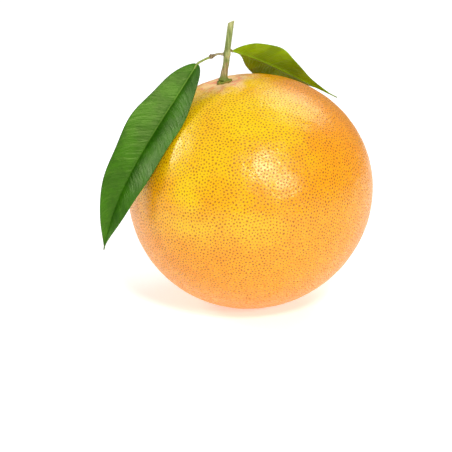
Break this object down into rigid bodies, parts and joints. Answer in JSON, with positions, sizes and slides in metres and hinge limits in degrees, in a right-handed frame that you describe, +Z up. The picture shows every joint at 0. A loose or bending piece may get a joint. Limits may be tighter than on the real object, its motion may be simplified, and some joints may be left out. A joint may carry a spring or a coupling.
{
  "type": "grapefruit",
  "caption": "Fresh whole grapefruit as picked, nearly round, resting on its skin, with a short cut twig at the stem end and pointed leaves on thin stalks.",
  "frame": {"origin": "on the small flat that the fruit rests on, straight below the fruit's centre", "axes": "+Z up, away from the surface it rests on; -Y towards the side that the front leaf hangs on; +X to the right seen from there. The stem end leans 13 degrees from +Z towards -X."},
  "size_m": [0.1203, 0.11, 0.1289],
  "materials": {
    "peel": "waxy yellow-orange citrus rind with small dark oil pits, blushed paler at the stem end, soft gloss",
    "calyx": "dry olive-green lobed button, matte",
    "twig": "young green bark with fine lengthwise ribs, paler at the slanted cut, matte",
    "side_shoot": "thin grey-brown shoot with a small dry knob, matte",
    "petiole": "smooth pale green leaf stalk, satin",
    "leaf": "leathery blade, dark green and glossy above, paler olive and matte below, with a raised midrib and fine side veins"
  },
  "bodies": {
    "root": {"fruit": "peel", "calyx": "calyx", "twig": "twig", "side_shoot": "side_shoot", "left_petiole": "petiole", "left_leaf": "leaf", "right_petiole": "petiole", "right_leaf": "leaf"}
  },
  "joints": []
}
